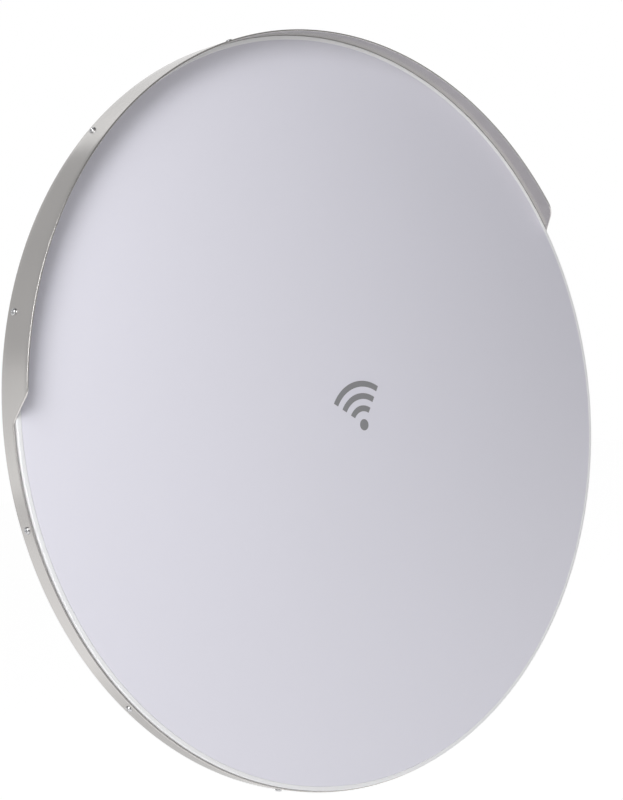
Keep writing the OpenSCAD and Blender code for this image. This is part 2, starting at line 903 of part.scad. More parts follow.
module clamp_jaw() {
  half_w = 54;
  flat_half_h = jaw_half_h - plate_t - bend_r;
  back_y = jaw_y + plate_t;
  color("lightsteelblue") difference() {
    union() {
      extrude_y(jaw_y, back_y) round_rect(-half_w, -flat_half_h, half_w, flat_half_h, 2);
      intersection() {
        extrude_x(-half_w, half_w) translate([back_y, 0]) mirror([1, 0])
          folded_sheet_sideways(jaw_half_h, back_y - saddle_tip_y);
        extrude_z(-jaw_half_h - 1, jaw_half_h + 1) saddle_outline(back_y, saddle_tip_y);
      }
    }
    clamp_bolt_places() translate([0, 0, jaw_y - 1]) cylinder(r = m8_clear_r, h = 6);
    extrude_y(jaw_y - 1, jaw_y + plate_t + 1) round_rect(-14, -26, 14, 26, 6);
  }
}

module clamp_washers() {
  color("silver") clamp_bolt_places() translate([0, 0, jaw_y + plate_t])
    washer(washer_r, m8_clear_r, washer_t);
}

module clamp_nuts() {
  color("silver") clamp_bolt_places() translate([0, 0, jaw_y + plate_t + washer_t])
    flange_nut(m8_r + 0.06);
}

// ---- Assembly ----

radome();
shroud_band();
rim_gasket();
rim_screws();
reflector();
backing_plate();
hub_bolts();
hub_nuts();
dish_bracket();
ground_screw();
rear_housing();
cover_gasket();
rear_cover();
cover_screws();
port_cover();
cable_grommet();
breather_vent();
light_pipe();
feed_release_button();
release_spring();
feed_latch();
lock_ring();
feed_seal();
feed_tube();
feed_waveguide();
feed_cone();
sub_reflector();
feed_cap();
radio_board();
rf_shield();
board_connector();
port_board();
ethernet_jack();
reset_switch();
reset_button();
pole_bracket();
pivot_bolts();
pivot_nuts();
lock_bolts();
lock_nuts();
friction_washers();
ear_washers();
clamp_bolts();
clamp_jaw();
clamp_washers();
clamp_nuts();
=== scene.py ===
"""Looks of the outdoor wireless bridge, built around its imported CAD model. Metres, in the row frame."""

import json
import math

import bpy
import numpy as np
from mathutils import Matrix, Vector


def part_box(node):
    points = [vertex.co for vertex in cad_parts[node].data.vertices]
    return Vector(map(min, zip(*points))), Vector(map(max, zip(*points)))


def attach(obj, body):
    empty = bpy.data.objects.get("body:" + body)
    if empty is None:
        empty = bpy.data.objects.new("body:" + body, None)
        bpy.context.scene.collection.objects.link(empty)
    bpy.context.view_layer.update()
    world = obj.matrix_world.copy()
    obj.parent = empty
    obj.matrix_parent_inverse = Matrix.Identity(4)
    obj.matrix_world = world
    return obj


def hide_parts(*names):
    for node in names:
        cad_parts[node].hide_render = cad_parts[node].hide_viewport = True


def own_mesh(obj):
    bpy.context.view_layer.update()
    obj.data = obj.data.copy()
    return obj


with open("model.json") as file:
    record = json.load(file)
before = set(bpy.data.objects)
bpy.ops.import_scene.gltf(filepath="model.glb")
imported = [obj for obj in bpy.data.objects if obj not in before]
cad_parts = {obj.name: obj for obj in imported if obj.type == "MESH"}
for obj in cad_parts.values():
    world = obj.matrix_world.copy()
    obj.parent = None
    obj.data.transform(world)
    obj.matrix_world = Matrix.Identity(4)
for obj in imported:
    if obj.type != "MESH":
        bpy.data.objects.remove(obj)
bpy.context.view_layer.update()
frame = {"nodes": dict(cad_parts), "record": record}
nodes = frame["nodes"]

# ---- Sizes that the looks share with the frame ----

MM = 0.001
BAND_LO, BAND_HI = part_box("shroud_band")
RADOME_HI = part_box("radome")[1]
DISH_LO, DISH_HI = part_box("reflector")

# Rim band: outer radius, sheet, width, and the plane of its front edge
BAND_R = BAND_HI.x
BAND_T = 0.0015
BAND_W = 0.0165
BAND_BACK_Y = BAND_HI.y
RIM_Y = BAND_BACK_Y - BAND_W

# Hood: how far it stands forward, where its ends start and finish, and its corners
HOOD_LEN = RIM_Y - BAND_LO.y
HOOD_BASE = math.radians(75.3)
HOOD_FRONT = math.radians(71.5)
HOOD_CORNER_R = 0.009
HOOD_RIGHT_R = 0.022

SCREW_N = 12
SCREW_Y = RIM_Y + 0.0067

# Radome: the dome's rise, its shell, its round shoulder, its side wall, and the ink film printed on it
DOME_H = 0.0325
DOME_EDGE_H = 0.004
DOME_T = 0.003
SHOULDER_R = 0.004
WALL_RO = RADOME_HI.x
WALL_T = 0.0022
WALL_RI = WALL_RO - WALL_T
SKIRT_BACK_Y = RADOME_HI.y
FILM_T = 0.00012

# White seal between the radome and the band; its white, lighter than the face, is partly its own colour and
# partly a painted highlight along the radome's edge
SEAL_W = 0.0031
SEAL_RO = BAND_R - BAND_T - 0.1 * MM

# Reflector: a paraboloid round a flat centre with a hole, and the lip at its rim
MIRROR_R = 0.316
FLAT_R = 0.094
FOCAL_LEN = 0.165
SHEET_T = 0.002
LIP_RO = DISH_HI.x
LIP_RI = LIP_RO - SHEET_T
LIP_FRONT_Y = DISH_LO.y
MIRROR_RIM_Y = RIM_Y + 0.013
HUB_R = 0.040

# ---- Mesh helpers ----


def make_object(name, verts, faces, body, replaces=(), smooth=True):
    """A mesh that rides on a body."""
    mesh = bpy.data.meshes.new(name)
    mesh.from_pydata([tuple(v) for v in verts], [], [tuple(f) for f in faces])
    mesh.validate()
    mesh.update()
    mesh.polygons.foreach_set("use_smooth", [smooth] * len(mesh.polygons))
    obj = bpy.data.objects.new(name, mesh)
    bpy.context.scene.collection.objects.link(obj)
    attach(obj, body)
    if replaces:
        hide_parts(*replaces)
    return obj


def on_rim(r, y, angle):
    """Points at radius r and depth y, at angles measured from the top of the rim towards +X."""
    return np.stack([r * np.sin(angle), y + 0 * angle, r * np.cos(angle)], axis=-1)


def grid_faces(columns, count, closed=False):
    """Quads between neighbouring columns of count points each; closed joins each column's two ends."""
    faces = []
    spans = count if closed else count - 1
    for c in range(columns):
        a, b = c * count, (c + 1) % columns * count
        for i in range(spans):
            j = (i + 1) % count
            faces.append((a + i, b + i, b + j, a + j))
    return faces


def columns_at(sections, angles):
    """The points of one (radius, y) outline a column, turned to the column's angle."""
    return np.concatenate([on_rim(s[:, 0], s[:, 1], np.full(len(s), a)) for s, a in zip(sections, angles)])


def same_all_round(section, step):
    """One outline repeated every step degrees: its copies, and their angles."""
    angles = np.radians(np.arange(0, 360, step))
    return np.repeat(section[None], len(angles), axis=0), angles


def turned_solid(name, sections, angles, replaces=()):
    """Solid on the dish, swept round its axis: one (radius, y) outline a column, from axis to axis."""
    columns, count = len(angles), sections.shape[1] - 2
    verts = columns_at(sections[:, 1:-1], angles)
    faces = grid_faces(columns, count)
    poles = len(verts)
    verts = np.concatenate([verts, [[0, sections[0, 0, 1], 0], [0, sections[0, -1, 1], 0]]])
    for c in range(columns):
        a, b = c * count, (c + 1) % columns * count
        faces.append((poles, b, a))
        faces.append((poles + 1, a + count - 1, b + count - 1))
    return make_object(name, verts, faces, "dish", replaces)


def turned_ring(name, sections, angles, replaces=()):
    """Ring on the dish, swept round its axis: one closed (radius, y) outline a column."""
    faces = grid_faces(len(angles), sections.shape[1], closed=True)
    return make_object(name, columns_at(sections, angles), faces, "dish", replaces)


def arc(centre, radius, start, end, steps):
    """Points on an arc in the (radius, y) plane; angles in degrees from +radius towards +y."""
    a = np.radians(np.linspace(start, end, steps))
    return np.stack([centre[0] + radius * np.cos(a), centre[1] + radius * np.sin(a)], axis=-1)


def line(start, end, steps):
    """Points between two (radius, y) points, without the first and the last."""
    t = np.linspace(0, 1, steps + 2)[1:-1, None]
    return np.array(start) * (1 - t) + np.array(end) * t


def wrap(angle):
    """The same angle between -pi and pi."""
    return (angle + math.pi) % (2 * math.pi) - math.pi


# ---- Hood ----

HOOD_MID = (HOOD_BASE + HOOD_FRONT) / 2
HOOD_HALF_RUN = BAND_R * (HOOD_BASE - HOOD_FRONT) / 2
HOOD_SLOPE = math.atan2(HOOD_LEN, 2 * HOOD_HALF_RUN)


def hood_height(angle):
    """How far the hood stands forward at an angle from the top: full height, an S curve, then nothing."""
    t = BAND_R * (abs(angle) - HOOD_MID)
    front_r, foot_r = (HOOD_RIGHT_R if angle > 0 else HOOD_CORNER_R), HOOD_CORNER_R
    top = -HOOD_HALF_RUN - front_r * math.tan(HOOD_SLOPE / 2)
    foot = HOOD_HALF_RUN + foot_r * math.tan(HOOD_SLOPE / 2)
    if t <= top:
        return HOOD_LEN
    if t < top + front_r * math.sin(HOOD_SLOPE):
        return HOOD_LEN - front_r + math.sqrt(front_r**2 - (t - top) ** 2)
    if t < foot - foot_r * math.sin(HOOD_SLOPE):
        return HOOD_LEN / 2 - t * math.tan(HOOD_SLOPE)
    if t < foot:
        return foot_r - math.sqrt(foot_r**2 - (foot - t) ** 2)
    return 0.0


def rim_angles(step, fine_step):
    """Column angles round the rim, closer together at the hood's ends."""
    margin = math.radians(4)
    low, high = HOOD_FRONT - margin, HOOD_BASE + margin
    coarse, fine = math.radians(step), math.radians(fine_step)

    def spread(a, b, gap):
        return np.linspace(a, b, max(2, round((b - a) / gap) + 1))[:-1]

    return np.concatenate([
        spread(-low, low, coarse),
        spread(low, high, fine),
        spread(high, 2 * math.pi - high, coarse),
        spread(2 * math.pi - high, 2 * math.pi - low, fine),
    ])


# ---- Radome ----

DOME_EDGE_R = WALL_RO - SHOULDER_R - MM
DOME_RISE = DOME_H - DOME_EDGE_H
DOME_R = (DOME_EDGE_R**2 + DOME_RISE**2) / (2 * DOME_RISE)
DOME_CY = RIM_Y - DOME_H + DOME_R + FILM_T


def dome_y(r, grow=0.0):
    """Depth of the dome at radius r, set back by the ink film so that the film stays in the frame's box."""
    return DOME_CY - np.sqrt((DOME_R + grow) ** 2 - np.square(r))


def dome_line(edge_r):
    """Outer face of the dome from its centre to edge_r, with closer points near the edge."""
    share = np.concatenate([np.linspace(0, 0.93, 34), np.linspace(0.935, 1, 14)])
    r = edge_r * share
    return np.stack([r, dome_y(r)], axis=-1)


def radome_section():
    """Closed outline: the dome, its round shoulder, the side wall and the inside of the shell."""
    centre_r = WALL_RO - SHOULDER_R
    centre_y = dome_y(centre_r, -SHOULDER_R)
    lean = math.degrees(math.asin(centre_r / (DOME_R - SHOULDER_R)))
    shoulder = arc((centre_r, centre_y), SHOULDER_R, -90 + lean, 0, 18)
    inner_edge_y = dome_y(WALL_RI, -DOME_T)
    inner_r = np.linspace(WALL_RI, 0, 20)
    return np.concatenate([
        dome_line(shoulder[0, 0])[:-1],
        shoulder,
        line(shoulder[-1], (WALL_RO, SKIRT_BACK_Y), 4),
        [(WALL_RO, SKIRT_BACK_Y), (WALL_RI, SKIRT_BACK_Y)],
        line((WALL_RI, SKIRT_BACK_Y), (WALL_RI, inner_edge_y), 3),
        np.stack([inner_r, dome_y(inner_r, -DOME_T)], axis=-1),
    ])


def build_radome():
    outlines, angles = same_all_round(radome_section(), 1.0)
    return turned_solid("radome_shell", outlines, angles, ["radome"])


# ---- Seal round the radome ----


def seal_section():
    """White edge seal, whose white is partly a painted highlight along the radome's edge: level with the
    face, a small round outer corner, and a side down into the joint.
    """
    proud, slope, corner = 0.05 * MM, 0.2 * MM, 0.6 * MM
    foot_t, joint_depth, overlap = 1.4 * MM, 0.8 * MM, 0.5 * MM
    foot_r = WALL_RO - SEAL_W
    foot_y = dome_y(foot_r) - proud
    brow_y = foot_y + slope
    depth_y = RIM_Y + joint_depth
    return np.concatenate([
        [(foot_r, foot_y)],
        line((foot_r, foot_y), (SEAL_RO - corner, brow_y), 4),
        arc((SEAL_RO - corner, brow_y + corner), corner, -90, 0, 8),
        [(SEAL_RO, depth_y), (WALL_RO - overlap, depth_y), (foot_r, foot_y + foot_t)],
    ])


def build_seal():
    outlines, angles = same_all_round(seal_section(), 1.0)
    return turned_ring("rim_seal", outlines, angles)


# ---- Rim band and its screws ----


def band_section(height):
    """Sheet metal with eased edges, and a small lip turned in at the back."""
    ease, bend, lip = 0.00035, 0.0022, 0.0026
    ro, ri = BAND_R, BAND_R - BAND_T
    front, back = RIM_Y - height, BAND_BACK_Y
    return np.concatenate([
        arc((ri + ease, front + ease), ease, 180, 270, 4),
        arc((ro - ease, front + ease), ease, 270, 360, 4),
        line((ro, front + ease), (ro, back - bend), 6),
        arc((ro - bend, back - bend), bend, 0, 90, 6),
        arc((ro - lip + ease, back - ease), ease, 90, 180, 3),
        arc((ro - lip + ease, back - BAND_T + ease), ease, 180, 270, 3),
        [(ri - 0.2 * MM, back - BAND_T), (ri, back - BAND_T - 0.2 * MM)],
        line((ri, back - BAND_T - 0.2 * MM), (ri, front + ease), 5),
    ])


def build_band():
    angles = rim_angles(1.0, 0.2)
    sections = np.stack([band_section(hood_height(wrap(a))) for a in angles])
    return turned_ring("rim_band", sections, angles, ["shroud_band"])


# A button-head screw as (radius, height, share of a hexagon) rings in mm, from the socket's floor outward
SCREW_RINGS = [
    (0.35, 0.55, 0), (1.15, 0.55, 1), (1.20, 0.62, 1), (1.20, 1.42, 1), (1.32, 1.58, 0.6),
    (1.60, 1.68, 0), (2.00, 1.58, 0), (2.40, 1.36, 0), (2.70, 1.08, 0), (2.90, 0.72, 0),
    (2.98, 0.35, 0), (3.00, 0.10, 0), (3.00, -0.05, 0), (2.00, -0.06, 0), (2.00, -8.5, 0),
]


def build_screws():
    """The rim's screws, evenly spaced from the top, each with its socket turned further than the last."""
    sides, socket_turn = 36, 0.7
    turns = np.arange(sides) * 2 * math.pi / sides
    hexagon = math.cos(math.pi / 6) / np.cos((turns % (math.pi / 3)) - math.pi / 6)
    rim = BAND_R / MM
    verts, faces = [], []
    for n in range(SCREW_N):
        base = len(verts)
        angle = 2 * math.pi * n / SCREW_N
        twist = Matrix.Rotation(angle, 3, "Y")
        for radius, height, share in SCREW_RINGS:
            radii = radius * (1 - share + share * hexagon / hexagon.max())
            for t, r in zip(turns + socket_turn * n, radii):
                p = Vector((r * math.cos(t), r * math.sin(t), rim + height)) * MM
                verts.append(twist @ (p + Vector((0, SCREW_Y, 0))))
        top, end = len(verts), len(verts) + 1
        for height in (SCREW_RINGS[0][1], SCREW_RINGS[-1][1]):
            verts.append(twist @ (Vector((0, 0, rim + height)) * MM + Vector((0, SCREW_Y, 0))))
        last = base + (len(SCREW_RINGS) - 1) * sides
        for s in range(sides):
            u = (s + 1) % sides
            faces.append((top, base + s, base + u))
            faces.append((end, last + u, last + s))
            for k in range(len(SCREW_RINGS) - 1):
                a, b = base + k * sides, base + (k + 1) * sides
                faces.append((a + s, b + s, b + u, a + u))
    return make_object("rim_screw_heads", verts, faces, "dish", ["rim_screws"])


# ---- Reflector ----


def mirror_y(r):
    """Depth of the reflector's front at radius r."""
    return MIRROR_RIM_Y + (MIRROR_R**2 - np.square(r)) / (4 * FOCAL_LEN)


def reflector_section():
    """Spun sheet: a flat centre, a paraboloid, and a lip turned forward with rolled corners."""
    r = np.linspace(FLAT_R, MIRROR_R, 60)
    slope = r / (2 * FOCAL_LEN)
    front = np.stack([r, mirror_y(r)], axis=-1)
    behind = front + np.stack([slope, np.ones_like(r)], axis=-1) * (
        SHEET_T / np.sqrt(1 + slope**2)
    )[:, None]
    flat_y = mirror_y(FLAT_R)
    centre_r = np.linspace(HUB_R, FLAT_R, 8)[:-1]
    flat_front = np.stack([centre_r, np.full_like(centre_r, flat_y)], axis=-1)
    flat_behind = flat_front + (0, SHEET_T)
    inner_bend, outer_bend = 0.0012, 0.002
    bend_y = MIRROR_RIM_Y - MM - inner_bend
    lip = np.concatenate([
        arc((LIP_RI - inner_bend, bend_y), inner_bend, 60, 0, 4),
        line((LIP_RI, bend_y), (LIP_RI, LIP_FRONT_Y), 3),
        [(LIP_RI, LIP_FRONT_Y), (LIP_RO, LIP_FRONT_Y)],
        line((LIP_RO, LIP_FRONT_Y), (LIP_RO, MIRROR_RIM_Y), 3),
        arc((LIP_RO - outer_bend, MIRROR_RIM_Y), outer_bend, 0, 60, 5),
    ])
    keep = behind[:, 0] < LIP_RO - outer_bend - MM
    return np.concatenate([flat_front, front, lip, behind[keep][::-1], flat_behind[::-1]])


def build_reflector():
    outlines, angles = same_all_round(reflector_section(), 1.5)
    return turned_ring("reflector_dish", outlines, angles, ["reflector"])


# ---- Generic mark on the radome ----


def build_mark():
    """A plain dot with three arcs over it, printed in one grey ink on the middle of the face."""
    parts = [
        ("mark_dot", 0.0, 0.0048, 0, 360),
        ("mark_arc_small", 0.0115, 0.0165, 45, 135),
        ("mark_arc_middle", 0.0220, 0.0270, 45, 135),
        ("mark_arc_large", 0.0325, 0.0375, 45, 135),
    ]
    centre_z, steps = -0.016, 48
    made = []
    for name, r_in, r_out, start, end in parts:
        angles = np.radians(np.linspace(start, end, steps + 1))
        outline = [(r * math.cos(a), centre_z + r * math.sin(a)) for r in (r_in, r_out) for a in angles]
        verts = [(x, dome_y(math.hypot(x, z)) - level, z) for level in (0.0, FILM_T) for x, z in outline]
        faces = []
        n = steps + 1
        low_in, low_out, top_in, top_out = 0, n, 2 * n, 3 * n
        for i in range(steps):
            faces.append((top_in + i, top_in + i + 1, top_out + i + 1, top_out + i))
            faces.append((low_out + i, low_out + i + 1, low_in + i + 1, low_in + i))
            faces.append((top_out + i, top_out + i + 1, low_out + i + 1, low_out + i))
            faces.append((low_in + i, low_in + i + 1, top_in + i + 1, top_in + i))
        if end - start < 360:
            faces.append((low_in, top_in, top_out, low_out))
            faces.append((low_out + steps, top_out + steps, top_in + steps, low_in + steps))
        made.append(make_object(name, verts, faces, "dish", smooth=False))
    return made


# ---- Copies of CAD nodes: eased edges, and a copy of the release spring ----

# How far each node's edges are eased, in mm
EASED = {
    "pole_bracket": 0.7, "clamp_jaw": 0.7, "dish_bracket": 0.6, "rear_housing": 0.35, "rear_cover": 0.35,
    "port_cover": 0.35, "cable_grommet": 0.3, "breather_vent": 0.4, "feed_release_button": 0.4,
    "clamp_bolts": 0.3, "clamp_nuts": 0.35, "clamp_washers": 0.2, "pivot_bolts": 0.3, "pivot_nuts": 0.3,
    "lock_bolts": 0.3, "lock_nuts": 0.3, "ear_washers": 0.2, "hub_bolts": 0.3, "hub_nuts": 0.3,
    "cover_screws": 0.15, "ground_screw": 0.25,
}


WELD_GAP = 1e-6
FLAT_ANGLE = math.radians(0.7)
SHARP_ANGLE = math.radians(30)
FACE_WEIGHT = 80


def copy_node(node, suffix, body):
    """A copy of a CAD node's mesh that stands in the node's place."""
    piece = bpy.data.objects.new(node + suffix, nodes[node].data.copy())
    bpy.context.scene.collection.objects.link(piece)
    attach(piece, body)
    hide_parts(node)
    return piece


def ease_edges(node, body, width):
    """A copy of a CAD node with its sharp edges rounded off a little."""
    piece = copy_node(node, "_eased", body)
    weld = piece.modifiers.new("weld", "WELD")
    weld.merge_threshold = WELD_GAP
    join = piece.modifiers.new("join", "DECIMATE")
    join.decimate_type = "DISSOLVE"
    join.angle_limit = FLAT_ANGLE
    ease = piece.modifiers.new("ease", "BEVEL")
    ease.width, ease.segments = width * MM, 2
    ease.limit_method, ease.angle_limit = "ANGLE", SHARP_ANGLE
    shade = piece.modifiers.new("shade", "WEIGHTED_NORMAL")
    shade.weight = FACE_WEIGHT
    return piece


def soft_spring():
    """A copy of the release spring, with a mesh of its own."""
    spring = copy_node("release_spring", "_soft", "dish")
    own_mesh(spring)
    return spring


# ---- Materials ----


class Finish:
    """One node material: its shader, and small helpers to add procedural detail to it."""

    def __init__(self, name, colour, roughness, metallic=0.0, **sockets):
        self.material = bpy.data.materials.new(name)
        self.material.use_nodes = True
        self.tree = self.material.node_tree
        self.shader = self.tree.nodes["Principled BSDF"]
        self.colour = colour
        self.set("Base Color", (*colour, 1))
        self.set("Roughness", roughness)
        self.set("Metallic", metallic)
        self.roughness = roughness
        for key, value in sockets.items():
            self.set(key.replace("_", " "), value)
        self.coords = self.add("ShaderNodeTexCoord").outputs["Object"]
        self.height = None

    def add(self, kind, **values):
        node = self.tree.nodes.new(kind)
        for key, value in values.items():
            setattr(node, key, value)
        return node

    def link(self, a, b):
        self.tree.links.new(a, b)

    def set(self, socket, value):
        self.shader.inputs[socket].default_value = value

    def math(self, operation, a, b=None):
        node = self.add("ShaderNodeMath", operation=operation)
        for slot, value in zip(node.inputs, (a, b)):
            if isinstance(value, (int, float)):
                slot.default_value = value
            elif value is not None:
                self.link(value, slot)
        return node.outputs[0]

    def stretched(self, scale):
        """Object coordinates scaled separately along X, Y and Z."""
        node = self.add("ShaderNodeMapping")
        node.inputs["Scale"].default_value = scale
        self.link(self.coords, node.inputs["Vector"])
        return node.outputs[0]

    def round_rim(self, along, across):
        """Coordinates wrapped round the dish's axis, so that a pattern can run along the band."""
        split = self.add("ShaderNodeSeparateXYZ")
        self.link(self.coords, split.inputs[0])
        x, y, z = split.outputs
        angle = self.math("ARCTAN2", x, z)
        radius = self.math("SQRT", self.math("ADD", self.math("MULTIPLY", x, x), self.math("MULTIPLY", z, z)))
        join = self.add("ShaderNodeCombineXYZ")
        self.link(self.math("MULTIPLY", angle, along * BAND_R), join.inputs[0])
        self.link(self.math("MULTIPLY", y, across), join.inputs[1])
        self.link(radius, join.inputs[2])
        return join.outputs[0]

    def noise(self, scale, detail, coords=None):
        node = self.add("ShaderNodeTexNoise")
        node.inputs["Scale"].default_value = scale
        node.inputs["Detail"].default_value = detail
        self.link(coords or self.coords, node.inputs["Vector"])
        return node.outputs["Fac"]

    def cells(self, scale):
        node = self.add("ShaderNodeTexVoronoi")
        node.inputs["Scale"].default_value = scale
        self.link(self.coords, node.inputs["Vector"])
        return node.outputs["Color"]

    def spread(self, value, low, high):
        """Maps a 0 to 1 pattern onto low to high."""
        node = self.add("ShaderNodeMapRange")
        self.link(value, node.inputs["Value"])
        node.inputs["To Min"].default_value = low
        node.inputs["To Max"].default_value = high
        return node.outputs[0]

    def vary_colour(self, pattern, amount, tint=(1.0, 1.0, 1.0)):
        """Lightens and darkens the base colour by amount, leaning towards tint where the pattern is high."""
        mix = self.add("ShaderNodeMix", data_type="RGBA")
        low = [c * (1 - amount) for c in self.colour]
        high = [min(1.0, c * (1 + amount) * t) for c, t in zip(self.colour, tint)]
        mix.inputs[6].default_value = (*low, 1)
        mix.inputs[7].default_value = (*high, 1)
        self.link(pattern, mix.inputs[0])
        self.link(mix.outputs[2], self.shader.inputs["Base Color"])

    def vary_roughness(self, pattern, amount):
        self.link(
            self.spread(pattern, self.roughness - amount, self.roughness + amount),
            self.shader.inputs["Roughness"],
        )

    def bump(self, pattern, distance, strength):
        """Adds a bump; a later bump lies on top of an earlier one."""
        node = self.add("ShaderNodeBump")
        node.inputs["Strength"].default_value = strength
        node.inputs["Distance"].default_value = distance
        self.link(pattern, node.inputs["Height"])
        if self.height:
            self.link(self.height, node.inputs["Normal"])
        self.height = node.outputs[0]
        self.link(self.height, self.shader.inputs["Normal"])


def moulded(name, colour, roughness=0.45):
    """Moulded plastic: faint flow marks, a fine etched grain and a slightly uneven gloss."""
    f = Finish(name, colour, roughness)
    f.vary_colour(f.noise(9, 2), 0.012)
    f.vary_roughness(f.noise(60, 4), 0.04)
    f.bump(f.noise(2600, 2), 0.00002, 0.35)
    return f.material


def radome_plastic():
    """Satin off-white plastic with a very slight waviness and a fine grain."""
    f = Finish("radome_plastic", (0.70, 0.692, 0.76), 0.42, Specular_IOR_Level=0.45)
    f.vary_colour(f.noise(3.5, 2), 0.008, (1.0, 1.0, 1.01))
    f.vary_roughness(f.noise(22, 3), 0.03)
    f.bump(f.noise(2.2, 1), 0.0006, 0.25)
    f.bump(f.noise(1700, 3), 0.00002, 0.3)
    return f.material


def brushed_band():
    """Bare sheet metal brushed round the rim, with faint smudges."""
    f = Finish("band_metal", (0.61, 0.592, 0.578), 0.24, 1.0, Anisotropic=0.7, Anisotropic_Rotation=0.25)
    grain = f.add("ShaderNodeTangent", direction_type="RADIAL", axis="Y")
    f.link(grain.outputs[0], f.shader.inputs["Tangent"])
    lines = f.noise(1, 4, f.round_rim(18, 2600))
    smudges = f.noise(1, 3, f.round_rim(14, 60))
    f.vary_colour(lines, 0.03)
    f.vary_roughness(smudges, 0.05)
    f.bump(lines, 0.00002, 0.35)
    return f.material


def powder_coat():
    """Pale powder coating with a slight orange peel."""
    f = Finish("dish_metal", (0.66, 0.67, 0.69), 0.48)
    f.vary_colour(f.noise(6, 2), 0.015)
    f.bump(f.noise(420, 2), 0.00006, 0.5)
    return f.material


def galvanised():
    """Hot-dip zinc: large spangles that differ in tone and gloss."""
    f = Finish("bracket_steel", (0.50, 0.52, 0.54), 0.42, 1.0)
    grains = f.add("ShaderNodeSeparateColor")
    f.link(f.cells(130), grains.inputs[0])
    f.vary_colour(grains.outputs[0], 0.16, (1.0, 1.01, 1.03))
    f.vary_roughness(grains.outputs[1], 0.09)
    f.bump(f.noise(300, 3), 0.00005, 0.4)
    return f.material


def plated(name, colour, roughness):
    """Plated or turned metal with faint handling marks."""
    f = Finish(name, colour, roughness, 1.0)
    f.vary_colour(f.noise(90, 3), 0.05)
    f.vary_roughness(f.noise(240, 3), 0.06)
    f.bump(f.noise(900, 2), 0.00001, 0.4)
    return f.material


def rubber():
    f = Finish("rubber", (0.022, 0.022, 0.024), 0.75)
    f.vary_colour(f.noise(120, 3), 0.15)
    f.bump(f.noise(1400, 3), 0.00004, 0.5)
    return f.material


def edge_seal():
    """White silicone strip, lighter than the radome's face: partly its own colour, partly a painted highlight
    for the bright line along the radome's edge.
    """
    f = Finish("edge_seal", (0.80, 0.80, 0.815), 0.5)
    f.vary_colour(f.noise(60, 3), 0.02)
    f.vary_roughness(f.noise(140, 3), 0.05)
    f.bump(f.noise(240, 2), 0.00006, 0.4)
    return f.material


def circuit_board():
    """Green solder mask with raised tracks."""
    f = Finish("board_green", (0.012, 0.10, 0.045), 0.30)
    tracks = f.noise(1, 1, f.stretched((420, 900, 900)))
    f.vary_colour(tracks, 0.25, (1.0, 1.15, 1.0))
    f.bump(tracks, 0.00003, 0.6)
    return f.material


def clear_plastic():
    f = Finish("clear_plastic", (0.80, 0.88, 0.92), 0.12, Transmission_Weight=0.6)
    f.bump(f.noise(300, 1), 0.00002, 0.3)
    return f.material


def print_ink():
    """Grey ink film printed on the radome."""
    f = Finish("print_ink", (0.24, 0.24, 0.25), 0.38)
    f.vary_colour(f.noise(150, 3), 0.04)
    f.bump(f.noise(1700, 2), 0.00001, 0.3)
    return f.material


def make_finishes():
    """One finish for each material slot in the record, one for the edge seal (its white partly a painted
    highlight), and an ink.
    """
    return {
        "radome_plastic": radome_plastic(),
        "band_metal": brushed_band(),
        "dish_metal": powder_coat(),
        "bracket_steel": galvanised(),
        "bolt_zinc": plated("bolt_zinc", (0.62, 0.63, 0.65), 0.26),
        "screw_steel": plated("screw_steel", (0.56, 0.56, 0.57), 0.24),
        "spring_steel": plated("spring_steel", (0.60, 0.60, 0.61), 0.22),
        "ground_brass": plated("ground_brass", (0.72, 0.52, 0.22), 0.30),
        "housing_plastic": moulded("housing_plastic", (0.74, 0.75, 0.77)),
        "grey_plastic": moulded("grey_plastic", (0.20, 0.21, 0.23)),
        "black_plastic": moulded("black_plastic", (0.014, 0.014, 0.016)),
        "red_plastic": moulded("red_plastic", (0.42, 0.02, 0.014)),
        "clear_plastic": clear_plastic(),
        "feed_ptfe": moulded("feed_ptfe", (0.78, 0.76, 0.70), 0.5),
        "board_green": circuit_board(),
        "rubber": rubber(),
        "edge_seal": edge_seal(),
        "print_ink": print_ink(),
    }


def dress(obj, material):
    obj.data.materials.clear()
    obj.data.materials.append(material)


def dress_frame(finishes):
    """Gives every CAD node its slot's finish, and eases the edges of those seen from outside."""
    body_of = {n: body for body, held in frame["record"]["behaviour"]["bodies"].items() for n in held}
    for row in frame["record"]["subparts"]:
        node, slot = row["node"], row["material_slot"]
        dress(nodes[node], finishes[slot])
        if node in EASED:
            dress(ease_edges(node, body_of[node], EASED[node]), finishes[slot])
        if node == "release_spring":
            dress(soft_spring(), finishes[slot])


# ---- Camera, floor and light ----

RIM_CENTRE = Vector((0, RIM_Y, 0))
LIGHT_DISTANCE = 2.2


def direction(azimuth, elevation):
    """Unit vector towards an azimuth and elevation in degrees; azimuth 0 is in front of the dish."""
    a, e = math.radians(azimuth), math.radians(elevation)
    return Vector((math.sin(a) * math.cos(e), -math.cos(a) * math.cos(e), math.sin(e)))


def make_camera():
    """The photograph's view: from the front left and a little above, rolled clockwise."""
    distance, azimuth, elevation, roll = 1.795, -40.13, 7.39, 15.26
    aim = RIM_CENTRE + Vector((-0.0221, 0, 0.0150))
    back = direction(azimuth, elevation)
    data = bpy.data.cameras.new("camera")
    data.sensor_width, data.lens = 36, 94.68
    data.clip_start, data.clip_end = 0.05, 100
    camera = bpy.data.objects.new("camera", data)
    camera.rotation_mode = "QUATERNION"
    camera.location = aim + back * distance
    turn = (-back).to_track_quat("-Z", "Y").to_matrix() @ Matrix.Rotation(math.radians(-roll), 3, "Z")
    camera.rotation_quaternion = turn.to_quaternion()
    bpy.context.scene.collection.objects.link(camera)
    bpy.context.scene.camera = camera


